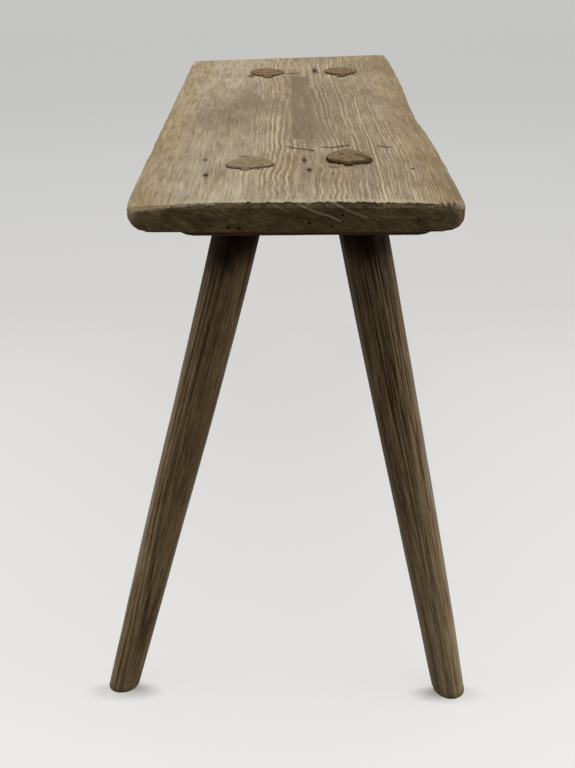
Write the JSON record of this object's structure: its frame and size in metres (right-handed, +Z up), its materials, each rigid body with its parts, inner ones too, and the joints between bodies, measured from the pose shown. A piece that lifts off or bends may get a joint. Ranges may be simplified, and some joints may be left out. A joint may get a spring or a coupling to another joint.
{
  "type": "country bench",
  "caption": "Plank-seat bench on splayed hand-shaved legs, held by wedged through-tenons in cross battens nailed under the seat.",
  "frame": {"origin": "on the floor under the middle of the bench", "axes": "+Y along the seat towards its far end, +X across the seat, +Z up"},
  "size_m": [0.3888, 0.8992, 0.5],
  "materials": {
    "seat_wood": "weathered bare softwood, raised grain",
    "batten_wood": "dark aged softwood",
    "leg_wood": "dark hand-shaved wood, worn satin",
    "wedge_wood": "bare end grain",
    "nail_iron": "rusted forged iron"
  },
  "bodies": {
    "root": {"seat_plank": "seat_wood", "batten_near": "batten_wood", "batten_far": "batten_wood", "leg_near_left": "leg_wood", "leg_near_right": "leg_wood", "leg_far_left": "leg_wood", "leg_far_right": "leg_wood", "wedge_near_left": "wedge_wood", "wedge_near_right": "wedge_wood", "wedge_far_left": "wedge_wood", "wedge_far_right": "wedge_wood", "nail_near_1": "nail_iron", "nail_near_2": "nail_iron", "nail_near_3": "nail_iron", "nail_near_4": "nail_iron", "nail_near_5": "nail_iron", "nail_far_1": "nail_iron", "nail_far_2": "nail_iron"}
  },
  "joints": []
}
